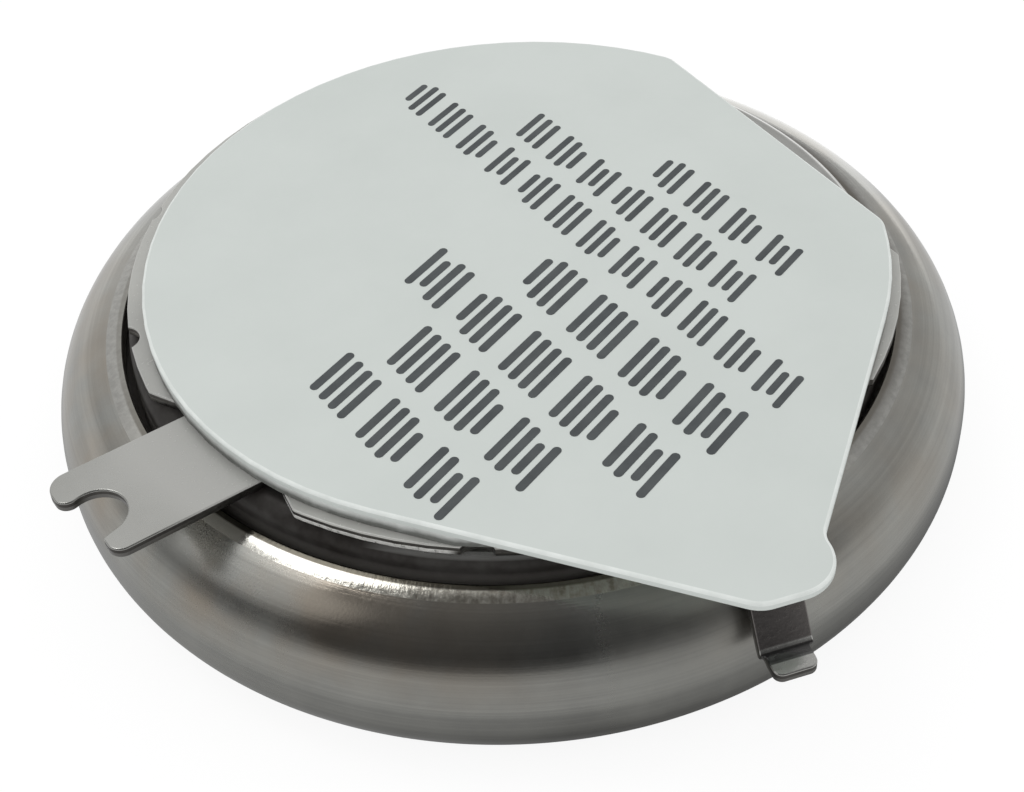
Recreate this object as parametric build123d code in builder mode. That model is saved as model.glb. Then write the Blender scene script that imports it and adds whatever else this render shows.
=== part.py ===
from build123d import *

import os
from math import acos, atan2, cos, degrees, radians, sin, sqrt, tan

# Watch capacitor cell: a crimped coin cell with a welded lead plate and an insulating label.
# Millimetres. The origin is the centre of the can's flat bottom and +Z is up.
# The forked solder tab points along -X and the cut side of the label faces +X.

os.makedirs("parts", exist_ok=True)

# Can, the positive case, pressed from stainless sheet
can_radius = 4.75
can_wall = 0.18
base_corner_radius = 0.64
side_height = 0.80
shoulder_radius = 0.924
lip_angle = 70.5
lip_width = 0.187
lip_slope = 18.7

# Cap, the negative cover, with a stepped skirt inside the crimp
cell_height = 1.99
cap_wall = 0.15
mouth_gap = 0.087
crown_radius = 0.18
neck_radius = 0.10
flange_flat = 0.03

# Gasket, the insulating ring that the crimp squeezes
gasket_side = 0.17
gasket_floor = 0.12
gasket_inner_wall = 0.14
gasket_recess = 0.13

# Electrodes and separator inside the can
collector_thickness = 0.05
positive_thickness = 0.62
separator_thickness = 0.18
electrode_margin = 0.12
separator_margin = 0.05
pellet_chamfer = 0.04

# Lead plate, one stamped sheet: disc, forked tab and bent leg
plate_thickness = 0.11
plate_overhang = 0.047
plate_shift = 0.087
relief_width = 0.49
relief_depth = 0.28
relief_corner = 0.07
nick_radius = 0.17
nick_depth = 0.10
nick_angles = (160.2, -129.0, -66.5)
shallow_nick_depth = 0.05
shallow_nick_angle = 131.0
flat_angle = -1.9
flat_inset = 0.695
weld_radius = 0.28
weld_depth = 0.03
weld_spacing = 1.5

# Forked tab, in a frame whose x axis leaves the disc's centre along the tab
fork_direction = 180.0
fork_width = 1.19
fork_offset = 0.595
fork_reach = 1.30
short_prong_cut = 0.155
notch_radius = 0.28
notch_inset = 0.245
notch_offset = 0.048
notch_slant = 14.0
long_tip_outer_radius = 0.20
long_tip_inner_radius = 0.12
short_tip_outer_radius = 0.14
short_tip_inner_radius = 0.04

# Bent leg, in a frame whose x axis leaves the disc's centre along the leg
leg_direction = -106.5
leg_offset = 0.91
leg_width = 0.51
leg_flare = 36.0
leg_drop = 0.935
leg_clearance = 0.10
leg_bend_radius = 0.22
foot_bend_radius = 0.12
foot_length = 0.24
foot_inset = 0.045
foot_corner_radius = 0.09

# Label, a thick film held up by its adhesive
adhesive_thickness = 0.125
adhesive_setback = 0.08
film_thickness = 0.09
film_edge_radius = 0.03
label_margin = 0.157
label_shift = (0.07, -0.09)
label_overhang = 0.054
label_cut_corner = 0.30
lobe_reach = 1.28
lobe_offset = 0.958
lobe_radius = 0.42
heel_offset = 0.673
heel_radius = 0.35
waist_reach = 0.263
neck_fillet = 0.25

# Clearance between formed parts that sit inside each other
fit_gap = 0.01

# Sizes that follow from the crimped form of the can
shoulder_centre = can_radius - shoulder_radius
lip_outer_radius = shoulder_centre + shoulder_radius * cos(radians(lip_angle))
lip_outer_height = side_height + shoulder_radius * sin(radians(lip_angle))
mouth_radius = lip_outer_radius - lip_width * cos(radians(lip_slope))
can_height = lip_outer_height + lip_width * sin(radians(lip_slope))
lip_under_height = side_height + sqrt(
    (shoulder_radius - can_wall) ** 2 - (mouth_radius - shoulder_centre) ** 2
)

# Sizes of the cap, which hangs in the gasket inside the can
cap_radius = mouth_radius - mouth_gap
skirt_radius = can_radius - can_wall - gasket_side - 2 * fit_gap
flange_height = lip_under_height - gasket_side - 2 * fit_gap
flange_radius = skirt_radius - cap_radius - neck_radius - flange_flat
skirt_outset = skirt_radius - (can_radius - base_corner_radius)
floor_at_skirt = base_corner_radius - sqrt(
    (base_corner_radius - can_wall) ** 2 - skirt_outset**2
)
skirt_bottom = floor_at_skirt + gasket_floor + 2 * fit_gap
gasket_bore = skirt_radius - cap_wall - fit_gap - gasket_inner_wall
gasket_foot = floor_at_skirt + fit_gap
gasket_top = can_height - gasket_recess

# Heights and radii of the stack between the can's floor and the cap
positive_radius = gasket_bore - electrode_margin
separator_radius = skirt_radius - cap_wall - separator_margin
negative_radius = cap_radius - cap_wall - electrode_margin
positive_bottom = can_wall + collector_thickness
separator_bottom = positive_bottom + positive_thickness
negative_bottom = separator_bottom + separator_thickness
negative_top = cell_height - cap_wall - collector_thickness

# Sizes of the lead plate and the label on it
plate_radius = cap_radius + plate_overhang
plate_centre = Vector(plate_shift, 0)
plate_top = cell_height + plate_thickness
flat_normal = Vector(1, 0).rotate(Axis.Z, flat_angle)
leg_x_dir = Vector(1, 0).rotate(Axis.Z, leg_direction)
leg_y_dir = Vector(0, 1).rotate(Axis.Z, leg_direction)
label_centre = Vector(*label_shift)
label_radius = plate_radius - label_margin
film_bottom = plate_top + adhesive_thickness


def mouth_angle(inset):
    """Where an arc held off the shoulder by an inset reaches the radius of the mouth."""
    return degrees(acos((mouth_radius - shoulder_centre) / (shoulder_radius - inset)))


def case_form(inset, shoulder_angle):
    """Half section of the can filled solid, held off its outer face by an inset."""
    corner_centre = (can_radius - base_corner_radius, base_corner_radius)
    with BuildSketch() as form:
        with BuildLine():
            corner = CenterArc(corner_centre, base_corner_radius - inset, -90, 90)
            shoulder = CenterArc(
                (shoulder_centre, side_height), shoulder_radius - inset, 0, shoulder_angle
            )
            Line(corner @ 1, shoulder @ 0)
            Polyline(
                shoulder @ 1,
                (mouth_radius, can_height),
                (0, can_height),
                (0, inset),
                corner @ 0,
            )
        make_face()
    return form.sketch


def cap_form(allowance, bottom):
    """Half section of the space under the cap's outer face, grown by an allowance."""
    top = cell_height + allowance
    wall = cap_radius + allowance
    flange = flange_height + allowance
    skirt = skirt_radius + allowance
    bends = [crown_radius + allowance, neck_radius - allowance, flange_radius + allowance]
    with BuildSketch() as form:
        with BuildLine():
            outside = FilletPolyline(
                (0, top), (wall, top), (wall, flange), (skirt, flange), (skirt, bottom), radius=bends
            )
            Polyline(outside @ 1, (0, bottom), (0, top))
        make_face()
    return form.sketch


# Can: drawn cup whose mouth is crimped over the gasket
with BuildPart() as can:
    with BuildSketch(Plane.XZ):
        add(case_form(0, lip_angle))
        add(case_form(can_wall, mouth_angle(can_wall)), mode=Mode.SUBTRACT)
    revolve(axis=Axis.Z)

# Gasket: J-shaped ring between can and cap, with a lip that shows in the crimp gap
with BuildPart() as gasket:
    with BuildSketch(Plane.XZ):
        add(case_form(can_wall + fit_gap, mouth_angle(can_wall + fit_gap)))
        add(cap_form(fit_gap, skirt_bottom - fit_gap), mode=Mode.SUBTRACT)
        Rectangle(gasket_bore, can_height, align=(Align.MIN, Align.MIN), mode=Mode.SUBTRACT)
        with Locations((0, gasket_top)):
            Rectangle(can_radius, can_height, align=(Align.MIN, Align.MIN), mode=Mode.SUBTRACT)
        with Locations((mouth_radius - fit_gap, lip_under_height - fit_gap)):
            Rectangle(can_wall, can_height, align=(Align.MIN, Align.MIN), mode=Mode.SUBTRACT)
        with Locations((gasket_bore, gasket_foot)):
            Rectangle(
                gasket_inner_wall, separator_bottom - gasket_foot, align=(Align.MIN, Align.MIN)
            )
    revolve(axis=Axis.Z)

# Cap: pressed cover with a raised top and a stepped skirt
with BuildPart() as cap:
    with BuildSketch(Plane.XZ):
        add(cap_form(0, skirt_bottom))
        add(cap_form(-cap_wall, skirt_bottom - cap_wall), mode=Mode.SUBTRACT)
    revolve(axis=Axis.Z)


def pressed_disc(radius, bottom, thickness):
    """Round disc that lies on a given height."""
    with BuildPart() as disc:
        with BuildSketch(Plane.XY.offset(bottom)):
            Circle(radius)
        extrude(amount=thickness)
    return disc


def pellet(radius, bottom, thickness):
    """Pressed disc with both rims broken by a small chamfer."""
    with pressed_disc(radius, bottom, thickness) as disc:
        chamfer(disc.edges().filter_by(GeomType.CIRCLE), pellet_chamfer)
    return disc


# Electrodes: a carbon collector and a pressed pellet on each side of the separator
positive_collector = pressed_disc(positive_radius, can_wall, collector_thickness)
positive_pellet = pellet(positive_radius, positive_bottom, positive_thickness)
separator = pressed_disc(separator_radius, separator_bottom, separator_thickness)
negative_pellet = pellet(negative_radius, negative_bottom, negative_top - negative_bottom)
negative_collector = pressed_disc(negative_radius, negative_top, collector_thickness)


def relief_corners(tab_offset, tab_width, side):
    """Inner and rim corner of the wedge beside one edge of a tab, in the tab's frame."""
    root = tab_offset + side * tab_width / 2
    mouth = root + side * relief_width
    inner = sqrt(plate_radius**2 - root**2) - relief_depth
    rim = sqrt(plate_radius**2 - mouth**2)
    return (inner, root), (rim, mouth)


def relief_form(tab_offset, tab_width):
    """Wedges that free both root corners of a tab, in a frame whose x axis follows the tab."""
    outside = plate_radius + relief_width
    with BuildSketch() as form:
        for side in (-1, 1):
            inner, rim = relief_corners(tab_offset, tab_width, side)
            Polygon(inner, (outside, inner[1]), (outside, rim[1]), rim)
            fillet(form.vertices().sort_by_distance(inner)[0], relief_corner / 2)
    return form.sketch


def fork_form():
    """Outline of the forked tab, in a frame whose x axis follows the tab."""
    long_tip = plate_radius + fork_reach
    short_tip = long_tip - short_prong_cut
    top = fork_offset - fork_width / 2
    bottom = fork_offset + fork_width / 2
    notch = (long_tip - notch_inset, fork_offset + notch_offset)
    slant = radians(notch_slant)
    lip_x = notch[0] + notch_radius * sin(slant)
    lip_y = notch[1] - notch_radius * cos(slant)
    long_corner = (long_tip, lip_y + (long_tip - lip_x) * tan(slant))
    lip_x = notch[0] - notch_radius * sin(slant)
    lip_y = notch[1] + notch_radius * cos(slant)
    short_corner = (short_tip, lip_y + (short_tip - lip_x) * tan(slant))
    root = plate_radius / 2
    with BuildSketch() as form:
        Polygon((root, top), (long_tip, top), (long_tip, notch[1]), (root, notch[1]))
        Polygon((root, notch[1]), (short_tip, notch[1]), (short_tip, bottom), (root, bottom))
        with Locations(notch):
            Circle(notch_radius, mode=Mode.SUBTRACT)
            Rectangle(
                fork_reach,
                2 * notch_radius,
                rotation=notch_slant,
                align=(Align.MIN, Align.CENTER),
                mode=Mode.SUBTRACT,
            )
        for corner, tip_radius in (
            ((long_tip, top), long_tip_outer_radius),
            (long_corner, long_tip_inner_radius),
            (short_corner, short_tip_inner_radius),
            ((short_tip, bottom), short_tip_outer_radius),
        ):
            fillet(form.vertices().sort_by_distance(corner)[0], tip_radius)
    return form.sketch


def leg_bends():
    """Reach of the leg's upper bend and of its foot, along the leg from the disc's centre."""
    turn = radians(leg_direction)
    flare = radians(leg_flare)
    axis_x = -plate_shift * cos(turn)
    axis_y = plate_shift * sin(turn)
    near_side = leg_offset - leg_width / 2 - axis_y
    ring_x = axis_x + sqrt(shoulder_centre**2 - near_side**2)
    held_off = shoulder_radius + leg_clearance
    under_x = ring_x + (held_off - sin(flare) * (cell_height - side_height)) / cos(flare)
    bend_x = under_x + plate_thickness * tan((radians(90) - flare) / 2)
    return bend_x, bend_x + leg_drop * tan(flare)


# Lead plate: disc blank with nicks, reliefs and the forked tab, then the leg bent down beside the can
with BuildPart() as lead_plate:
    with BuildSketch(Plane((plate_shift, 0, cell_height))) as plate_blank:
        Circle(plate_radius)
        for angle in nick_angles:
            with PolarLocations(plate_radius + nick_radius - nick_depth, 1, angle):
                Circle(nick_radius, mode=Mode.SUBTRACT)
        with PolarLocations(plate_radius + nick_radius - shallow_nick_depth, 1, shallow_nick_angle):
            Circle(nick_radius, mode=Mode.SUBTRACT)
        with PolarLocations(plate_radius - flat_inset, 1, flat_angle):
            Rectangle(
                plate_radius, 2 * plate_radius, align=(Align.MIN, Align.CENTER), mode=Mode.SUBTRACT
            )
        for direction, tab_offset, tab_width in (
            (fork_direction, fork_offset, fork_width),
            (leg_direction, leg_offset, leg_width),
        ):
            add(relief_form(tab_offset, tab_width), rotation=direction, mode=Mode.SUBTRACT)
            for side in (-1, 1):
                rim = Vector(*relief_corners(tab_offset, tab_width, side)[1])
                corner = rim.rotate(Axis.Z, direction)
                fillet(plate_blank.vertices().sort_by_distance(corner)[0], relief_corner)
        add(fork_form(), rotation=fork_direction)
    extrude(amount=plate_thickness)

    bend_x, foot_x = leg_bends()
    leg_origin = plate_centre + leg_y_dir * leg_offset
    leg_root = sqrt(plate_radius**2 - (abs(leg_offset) + leg_width / 2) ** 2) - relief_depth
    foot_top = plate_top - leg_drop
    foot_tip = foot_x + foot_length
    with BuildSketch(Plane(leg_origin, leg_x_dir, leg_x_dir.cross(Vector(0, 0, 1)))):
        with BuildLine():
            FilletPolyline(
                (leg_root - relief_depth, plate_top),
                (bend_x, plate_top),
                (foot_x, foot_top),
                (foot_tip, foot_top),
                radius=[leg_bend_radius + plate_thickness, foot_bend_radius],
            )
            offset(amount=plate_thickness, side=Side.RIGHT)
        make_face()
    extrude(amount=leg_width / 2, both=True)
    with BuildSketch(Plane(leg_origin + Vector(0, 0, foot_top), leg_x_dir)):
        for side in (-1, 1):
            with Locations((foot_x, side * leg_width / 2)):
                Rectangle(leg_drop, 2 * foot_inset, align=(Align.MIN, Align.CENTER))
    extrude(amount=-plate_thickness, mode=Mode.SUBTRACT)
    toe = leg_origin + leg_x_dir * foot_tip + Vector(0, 0, foot_top)
    fillet(
        lead_plate.edges().filter_by(Axis.Z).sort_by_distance(toe)[:2],
        foot_corner_radius,
    )

    with BuildSketch(Plane((plate_shift, 0, plate_top))):
        with GridLocations(0, weld_spacing, 1, 2):
            Circle(weld_radius)
    extrude(amount=-weld_depth, mode=Mode.SUBTRACT)


def label_form():
    """Outline of the label: a disc with a lobe over the leg, cut straight at the far side."""
    lobe_end = leg_x_dir * (plate_radius + lobe_reach)
    lobe = lobe_end + leg_y_dir * lobe_offset - leg_x_dir * lobe_radius
    heel = lobe_end + leg_y_dir * heel_offset - leg_x_dir * heel_radius
    arm = lobe - label_centre
    waist_angle = degrees(atan2(arm.Y, arm.X) + acos((label_radius - waist_reach) / arm.length))
    normal = Vector(1, 0).rotate(Axis.Z, waist_angle)
    along = Vector(0, 1).rotate(Axis.Z, waist_angle)
    neck = lobe + normal * waist_reach + along * sqrt(lobe_radius**2 - waist_reach**2)
    waist = label_centre + normal * label_radius
    cut = plate_centre + flat_normal * (plate_radius - flat_inset + label_overhang)
    with BuildSketch() as form:
        with Locations(label_centre):
            Circle(label_radius)
        with Locations(lobe):
            Circle(lobe_radius)
        with Locations(heel):
            Circle(heel_radius)
        make_hull()
        for edge, angle in ((waist, waist_angle), (cut, flat_angle)):
            with Locations(Location(edge, (0, 0, angle))):
                Rectangle(
                    label_radius,
                    4 * label_radius,
                    align=(Align.MIN, Align.CENTER),
                    mode=Mode.SUBTRACT,
                )
        with Locations(lobe):
            Circle(lobe_radius)
        fillet(form.vertices().group_by(Axis((0, 0, 0), flat_normal))[-1], label_cut_corner)
        fillet(form.vertices().sort_by_distance(neck)[0], neck_fillet)
    return form.sketch


# Label adhesive: the layer that holds the film up, set back from the film's edge
with BuildPart() as label_adhesive:
    with BuildSketch(Plane.XY.offset(plate_top)):
        add(label_form())
        offset(amount=-adhesive_setback, mode=Mode.REPLACE)
        with Locations(plate_centre):
            Circle(plate_radius - adhesive_setback, mode=Mode.INTERSECT)
    extrude(amount=adhesive_thickness)

# Label: thick insulating film whose upper edge is rounded over
with BuildPart() as label:
    with BuildSketch(Plane.XY.offset(film_bottom)):
        add(label_form())
    extrude(amount=film_thickness)
    fillet(label.faces().sort_by(Axis.Z)[-1].edges(), film_edge_radius)

# Names and files
pieces = {
    "can": can,
    "gasket": gasket,
    "cap": cap,
    "positive_collector": positive_collector,
    "positive_pellet": positive_pellet,
    "separator": separator,
    "negative_pellet": negative_pellet,
    "negative_collector": negative_collector,
    "lead_plate": lead_plate,
    "label_adhesive": label_adhesive,
    "label": label,
}
for name, piece in pieces.items():
    piece.part.label = name
    export_step(piece.part, f"parts/{name}.step")
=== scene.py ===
from math import acos, asin, atan2, ceil, cos, degrees, hypot, pi, radians, sin, sqrt, tan

import bmesh
import bpy
from mathutils import Matrix, Vector


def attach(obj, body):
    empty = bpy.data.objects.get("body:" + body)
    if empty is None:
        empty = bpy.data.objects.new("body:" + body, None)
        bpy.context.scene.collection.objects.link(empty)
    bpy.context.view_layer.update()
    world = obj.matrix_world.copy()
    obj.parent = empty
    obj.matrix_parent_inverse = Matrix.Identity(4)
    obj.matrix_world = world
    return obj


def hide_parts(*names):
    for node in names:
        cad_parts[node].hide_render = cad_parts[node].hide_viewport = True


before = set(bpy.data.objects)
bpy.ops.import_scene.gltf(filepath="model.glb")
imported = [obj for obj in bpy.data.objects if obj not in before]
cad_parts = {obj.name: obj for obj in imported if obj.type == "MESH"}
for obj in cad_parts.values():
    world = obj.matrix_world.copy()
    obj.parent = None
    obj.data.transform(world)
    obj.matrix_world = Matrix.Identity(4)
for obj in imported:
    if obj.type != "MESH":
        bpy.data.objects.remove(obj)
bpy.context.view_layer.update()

# Sizes of the cell in millimetres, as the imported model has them
can_radius = 4.75
can_wall = 0.18
base_corner_radius = 0.64
side_height = 0.80
shoulder_radius = 0.924
lip_angle = 70.5
lip_width = 0.187
lip_slope = 18.7
cell_height = 1.99
cap_wall = 0.15
mouth_gap = 0.087
crown_radius = 0.18
neck_radius = 0.10
flange_flat = 0.03
gasket_side = 0.17
gasket_floor = 0.12
fit_gap = 0.01
plate_thickness = 0.11
plate_overhang = 0.047
plate_shift = 0.087
relief_width = 0.49
relief_depth = 0.28
relief_corner = 0.07
nick_radius = 0.17
nick_depth = 0.10
nick_angles = (160.2, 231.0, 293.5)
shallow_nick_depth = 0.05
shallow_nick_angle = 131.0
flat_angle = -1.9
flat_inset = 0.695
fork_width = 1.19
fork_offset = 0.595
fork_reach = 1.30
short_prong_cut = 0.155
notch_radius = 0.28
notch_inset = 0.245
notch_offset = 0.048
notch_slant = 14.0
long_tip_outer_radius = 0.20
long_tip_inner_radius = 0.12
short_tip_outer_radius = 0.14
short_tip_inner_radius = 0.04
leg_direction = 253.5
leg_offset = 0.91
leg_width = 0.51
leg_flare = 36.0
leg_drop = 0.935
leg_clearance = 0.10
leg_bend_radius = 0.22
foot_bend_radius = 0.12
foot_length = 0.24
foot_inset = 0.045
foot_corner_radius = 0.09
adhesive_thickness = 0.125
adhesive_setback = 0.006
film_thickness = 0.09
film_edge_radius = 0.03
label_margin = 0.157
label_centre = Vector((0.07, -0.09))
label_overhang = 0.054
label_cut_corner = 0.30
lobe_reach = 1.28
lobe_offset = 0.958
lobe_radius = 0.42
heel_offset = 0.673
heel_radius = 0.35
waist_reach = 0.263
neck_fillet = 0.25

# Sizes that follow from them
shoulder_centre = can_radius - shoulder_radius
lip_outer_radius = shoulder_centre + shoulder_radius * cos(radians(lip_angle))
lip_outer_height = side_height + shoulder_radius * sin(radians(lip_angle))
mouth_radius = lip_outer_radius - lip_width * cos(radians(lip_slope))
can_height = lip_outer_height + lip_width * sin(radians(lip_slope))
inner_shoulder = shoulder_radius - can_wall
lip_under_height = side_height + sqrt(inner_shoulder**2 - (mouth_radius - shoulder_centre) ** 2)
cap_radius = mouth_radius - mouth_gap
skirt_radius = can_radius - can_wall - gasket_side - 2 * fit_gap
flange_height = lip_under_height - gasket_side - 2 * fit_gap
flange_radius = skirt_radius - cap_radius - neck_radius - flange_flat
inner_corner = base_corner_radius - can_wall
skirt_outset = skirt_radius - (can_radius - base_corner_radius)
floor_at_skirt = base_corner_radius - sqrt(inner_corner**2 - skirt_outset**2)
skirt_bottom = floor_at_skirt + gasket_floor + 2 * fit_gap
plate_radius = cap_radius + plate_overhang
plate_centre = Vector((plate_shift, 0))
plate_top = cell_height + plate_thickness
film_bottom = plate_top + adhesive_thickness
film_top = film_bottom + film_thickness
label_radius = plate_radius - label_margin
leg_bend = pi / 2 - radians(leg_flare)
leg_outer_bend_radius = leg_bend_radius + plate_thickness

# One millimetre in the scene's metres
mm = 0.001

# How finely round shapes are drawn
turn_steps = 320
arc_step = 5.0
bulge_steps = 6
edge_turns = (90, 60, 30, 0)
leg_bend_steps = 10
leg_slope_steps = 4
foot_bend_steps = 8
glue_step = 0.05

# Edges of the drawn pieces, and the angles from which an edge is drawn sharp
lip_edge_radius = 0.016
lip_bulge_angle = 11.0
sheet_edge_radius = 0.016
film_low_edge = 0.004
glue_low_edge = 0.010
glue_high_edge = 0.004
can_sharp_angle = 30
cap_sharp_angle = 40
sheet_sharp_angle = 38
flat_face_weight = 80

# The label's rounded corners: where each one's far side is aimed and where it ends
corner_aim = 3.0
corner_end = 5.0

# The film's top lies this much lower than the solid's, and the ink fills a share of that
ink_room = 0.004
ink_share = 0.75

# The camera that the photograph was taken with, found from the can, the plate and the label
camera_place = Vector((-7.699, -12.209, 14.132))
camera_target = Vector((-0.450, -0.698, 1.0))
camera_roll = -3.509
focal_pixels = 1836.5
image_width = 1024
sensor_width = 36.0
nearest_shown = 0.0005
furthest_shown = 10.0


def polar(radius, angle):
    """Point at a radius and an angle in degrees."""
    return Vector((radius * cos(radians(angle)), radius * sin(radians(angle))))


def arc(centre, radius, start, end):
    """Points along an arc, both ends included. A falling angle runs clockwise."""
    count = max(2, ceil(abs(end - start) / arc_step))
    turns = [start + (end - start) * k / count for k in range(count + 1)]
    return [Vector(centre) + polar(radius, turn) for turn in turns]


def heading(vector):
    """Angle of a vector in degrees."""
    return degrees(atan2(vector.y, vector.x))


def after(angle, start):
    """The same direction as an angle, as the first value past a start."""
    return start + (angle - start) % 360


def rounded(before, corner, beyond, radius):
    """Arc that rounds a corner between two straight edges."""
    incoming = (Vector(corner) - Vector(before)).normalized()
    outgoing = (Vector(beyond) - Vector(corner)).normalized()
    turn = incoming.angle_signed(outgoing)
    cut = radius * tan(abs(turn) / 2)
    side = 1 if turn < 0 else -1
    first = Vector(corner) - incoming * cut
    centre = first + Vector((-incoming.y, incoming.x)) * radius * side
    start = heading(first - centre)
    return arc(centre, radius, start, start - degrees(turn))


def filleted(points, radii):
    """Open path through points whose inner corners are rounded."""
    path = [Vector(points[0])]
    for k, radius in enumerate(radii):
        path += rounded(points[k], points[k + 1], points[k + 2], radius)
    return path + [Vector(points[-1])]


def thinned(points):
    """A closed outline without its doubled points."""
    closest = 1e-4
    return [p for k, p in enumerate(points) if (p - points[k - 1]).length > closest]


def bulged(start, end, angle):
    """Points from start to end along a slight arc that turns by an angle."""
    chord = end - start
    radius = chord.length / 2 / sin(radians(angle / 2))
    middle = (start + end) / 2
    across = Vector((chord.y, -chord.x)).normalized()
    centre = middle - across * radius * cos(radians(angle / 2))
    first = heading(start - centre)
    turns = [first + angle * k / bulge_steps for k in range(bulge_steps + 1)]
    return [centre + polar(radius, turn) for turn in turns]


def inset(outline, amount):
    """A closed anticlockwise outline moved inwards. Sharp corners move no further than a limit."""
    sharpest = 0.5
    moved = []
    for k, point in enumerate(outline):
        back = (point - outline[k - 1]).normalized()
        ahead = (outline[(k + 1) % len(outline)] - point).normalized()
        across = Vector((-back.y - ahead.y, back.x + ahead.x))
        length = max(across.length_squared / 2, sharpest)
        moved.append(point + across * (amount / length))
    return moved


def finished_mesh(name, form, sharp_angle):
    """Mesh in metres from a form in millimetres, smooth but for its sharp edges."""
    bmesh.ops.recalc_face_normals(form, faces=form.faces)
    for face in form.faces:
        face.smooth = True
    for edge in form.edges:
        if len(edge.link_faces) == 2 and edge.calc_face_angle(0) > radians(sharp_angle):
            edge.smooth = False
    bmesh.ops.transform(form, matrix=Matrix.Scale(mm, 4), verts=form.verts)
    mesh = bpy.data.meshes.new(name)
    form.to_mesh(mesh)
    form.free()
    return mesh


def new_piece(name, form, node, slot_name, *materials, sharp_angle=sheet_sharp_angle):
    """Scene object from a form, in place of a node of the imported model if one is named."""
    mesh = finished_mesh(name, form, sharp_angle)
    for material in materials:
        mesh.materials.append(material)
    piece = bpy.data.objects.new(name, mesh)
    bpy.context.scene.collection.objects.link(piece)
    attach(piece, "root")
    if node:
        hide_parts(node)
    return piece


def weigh_normals(piece):
    """Lets large faces keep their own direction beside rounded edges."""
    modifier = piece.modifiers.new("normals", "WEIGHTED_NORMAL")
    modifier.keep_sharp = True
    modifier.weight = flat_face_weight


def join_rings(form, low, high, material=0):
    """Faces between two rings of points."""
    for k in range(len(low)):
        j = (k + 1) % len(low)
        form.faces.new((low[k], low[j], high[j], high[k])).material_index = material


def ring_stack(outline, bottom, top, low_edge, high_edge):
    """Outlines and heights of a flat sheet with rounded edges, from the bottom up."""
    rings = [(0, (bottom + top) / 2)]
    for turn in edge_turns:
        inward = 1 - sin(radians(turn))
        rise = 1 - cos(radians(turn))
        rings.insert(0, (low_edge * inward, bottom + low_edge * rise))
        rings.append((high_edge * inward, top - high_edge * rise))
    return [(inset(outline, amount), height) for amount, height in rings]


def sheet_form(outline, bottom, top, low_edge, high_edge, bands=(0, 0, 0, 0)):
    """Flat sheet with rounded edges. Bands are its side's materials from the bottom up."""
    form = bmesh.new()
    rings = []
    for ring, height in ring_stack(outline, bottom, top, low_edge, high_edge):
        rings.append([form.verts.new((p.x, p.y, height)) for p in ring])
    materials = (bands[0],) * 3 + bands[1:3] + (bands[3],) * 3
    for low, high, material in zip(rings, rings[1:], materials):
        join_rings(form, low, high, material)
    form.faces.new(reversed(rings[0]))
    form.faces.new(rings[-1])
    return form


def turned_form(profile):
    """Closed section turned about the axis."""
    on_axis = 1e-6
    form = bmesh.new()
    columns = []
    for point in profile:
        if point.x < on_axis:
            columns.append([form.verts.new((0, 0, point.y))] * turn_steps)
            continue
        column = []
        for k in range(turn_steps):
            turn = 2 * pi * k / turn_steps
            column.append(form.verts.new((point.x * cos(turn), point.x * sin(turn), point.y)))
        columns.append(column)
    for first, second in zip(columns, columns[1:] + columns[:1]):
        for k in range(turn_steps):
            j = (k + 1) % turn_steps
            corners = [first[k], first[j], second[j], second[k]]
            unique = [v for n, v in enumerate(corners) if v not in corners[:n]]
            if len(unique) > 2:
                form.faces.new(unique)
    return form


def can_profile():
    """Section of the can: floor, base corner, side, shoulder and the ring at its mouth."""
    centre = (can_radius - base_corner_radius, base_corner_radius)
    ring_start = (lip_outer_radius, lip_outer_height)
    ring_end = (mouth_radius, can_height)
    shoulder = arc((shoulder_centre, side_height), shoulder_radius, 0, lip_angle)
    outside = arc(centre, base_corner_radius, -90, 0) + shoulder[:-1]
    under = (mouth_radius, lip_under_height)
    ring = bulged(Vector(ring_start), Vector(ring_end), lip_bulge_angle)
    mouth = rounded(ring[-2], ring_end, under, lip_edge_radius)
    mouth_turn = degrees(acos((mouth_radius - shoulder_centre) / inner_shoulder))
    inside = arc((shoulder_centre, side_height), inner_shoulder, mouth_turn, 0)
    inside += arc(centre, inner_corner, 0, -90)
    return [Vector((0, 0))] + outside + ring[:-1] + mouth + inside + [Vector((0, can_wall))]


def cap_path(allowance, bottom):
    """Half section of the cap's outer face, moved by an allowance."""
    top = cell_height + allowance
    wall = cap_radius + allowance
    flange = flange_height + allowance
    skirt = skirt_radius + allowance
    bends = (crown_radius + allowance, neck_radius - allowance, flange_radius + allowance)
    points = ((0, top), (wall, top), (wall, flange), (skirt, flange), (skirt, bottom))
    return filleted(points, bends)


def cap_profile():
    """Section of the cap: dome, step and skirt."""
    return cap_path(0, skirt_bottom) + cap_path(-cap_wall, skirt_bottom)[::-1]


def rim_run(start, end):
    """Points along the lead plate's rim, with its nicks."""
    marks = [(angle, nick_depth) for angle in nick_angles]
    marks.append((shallow_nick_angle, shallow_nick_depth))
    path = []
    place = start
    for angle, depth in sorted(marks):
        if not start < angle < end:
            continue
        reach = plate_radius + nick_radius - depth
        across = (reach**2 + plate_radius**2 - nick_radius**2) / (2 * reach)
        spread = degrees(acos(across / plate_radius))
        half = degrees(asin(plate_radius * sin(radians(spread)) / nick_radius))
        path += arc((0, 0), plate_radius, place, angle - spread)[:-1]
        path += arc(polar(reach, angle), nick_radius, angle + 180 + half, angle + 180 - half)
        place = angle + spread
    return path + arc((0, 0), plate_radius, place, end)[1 if path else 0 :]


def rim_point(offset, inward=0.0):
    """Point at an offset from a tab's middle line, on the rim or inward of it."""
    return Vector((sqrt(plate_radius**2 - offset**2) - inward, offset))


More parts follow.
